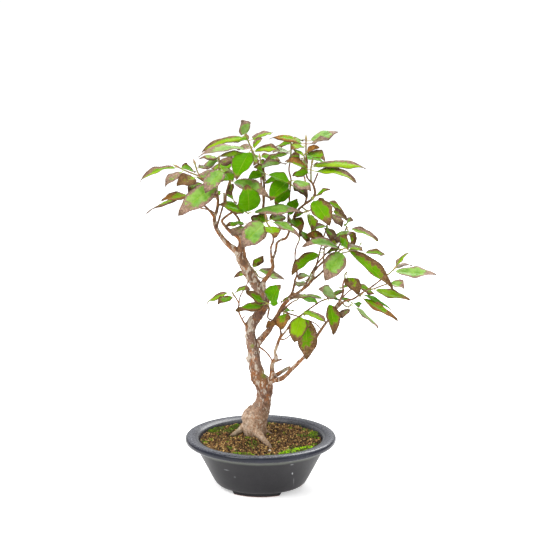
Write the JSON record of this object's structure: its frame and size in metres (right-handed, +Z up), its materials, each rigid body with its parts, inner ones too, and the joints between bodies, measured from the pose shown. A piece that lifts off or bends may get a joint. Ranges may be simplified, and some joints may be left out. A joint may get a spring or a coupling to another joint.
{
  "type": "stewartia bonsai",
  "caption": "Leafy upright bonsai tree with an S-shaped trunk and thin forked branches, in a round flared glazed pot on low arc feet, with soil and moss.",
  "frame": {"origin": "the middle of the whole tree and pot's box, on the surface that the pot's feet stand on", "axes": "+Z up along the tree's height, -Y the front that the tree is viewed from, +X to the viewer's right"},
  "size_m": [0.2886, 0.1536, 0.3671],
  "materials": {
    "glaze": "dark blue-grey semi-gloss glaze",
    "screen": "black plastic mesh",
    "soil": "matt granular soil, as light as fired clay grains",
    "moss": "bright green soft moss",
    "bark": "flaking pinkish grey over orange-brown bark",
    "leaf": "semi-gloss fresh green, brown at tips and margins"
  },
  "bodies": {
    "root": {"drainage_screen": "screen", "moss_front_left": "moss", "moss_front_right": "moss", "moss_left": "moss", "moss_right": "moss", "moss_trunk_back": "moss", "pot": "glaze", "shoot_apex": "leaf", "shoot_apex_front": "leaf", "shoot_back_far": "leaf", "shoot_back_inner": "leaf", "shoot_back_leader": "leaf", "shoot_back_left": "leaf", "shoot_back_left_low": "leaf", "shoot_back_low": "leaf", "shoot_back_outer": "leaf", "shoot_back_right": "leaf", "shoot_crown_centre": "leaf", "shoot_crown_inner": "leaf", "shoot_crown_right": "leaf", "shoot_crown_small": "leaf", "shoot_far_brown": "leaf", "shoot_far_inner": "leaf", "shoot_far_low": "leaf", "shoot_far_right": "leaf", "shoot_far_right_up": "leaf", "shoot_far_upper": "leaf", "shoot_front_centre": "leaf", "shoot_front_left": "leaf", "shoot_hanging": "leaf", "shoot_leader_front": "leaf", "shoot_leader_low": "leaf", "shoot_leader_mid": "leaf", "shoot_left_bud": "leaf", "shoot_left_front": "leaf", "shoot_left_inner": "leaf", "shoot_left_low": "leaf", "shoot_left_olive": "leaf", "shoot_left_tip": "leaf", "shoot_left_top": "leaf", "shoot_low_brown": "leaf", "shoot_low_centre": "leaf", "shoot_low_pointed": "leaf", "shoot_low_small": "leaf", "shoot_right_big": "leaf", "shoot_right_front": "leaf", "shoot_right_long": "leaf", "shoot_right_low": "leaf", "shoot_right_mid": "leaf", "shoot_right_orange": "leaf", "shoot_right_spur": "leaf", "shoot_second_tip": "leaf", "shoot_trunk_front": "leaf", "shoot_trunk_left": "leaf", "shoot_upper_back": "leaf", "shoot_upright_low": "leaf", "shoot_upright_tip": "leaf", "soil": "soil", "trunk_branches": "bark"}
  },
  "joints": []
}
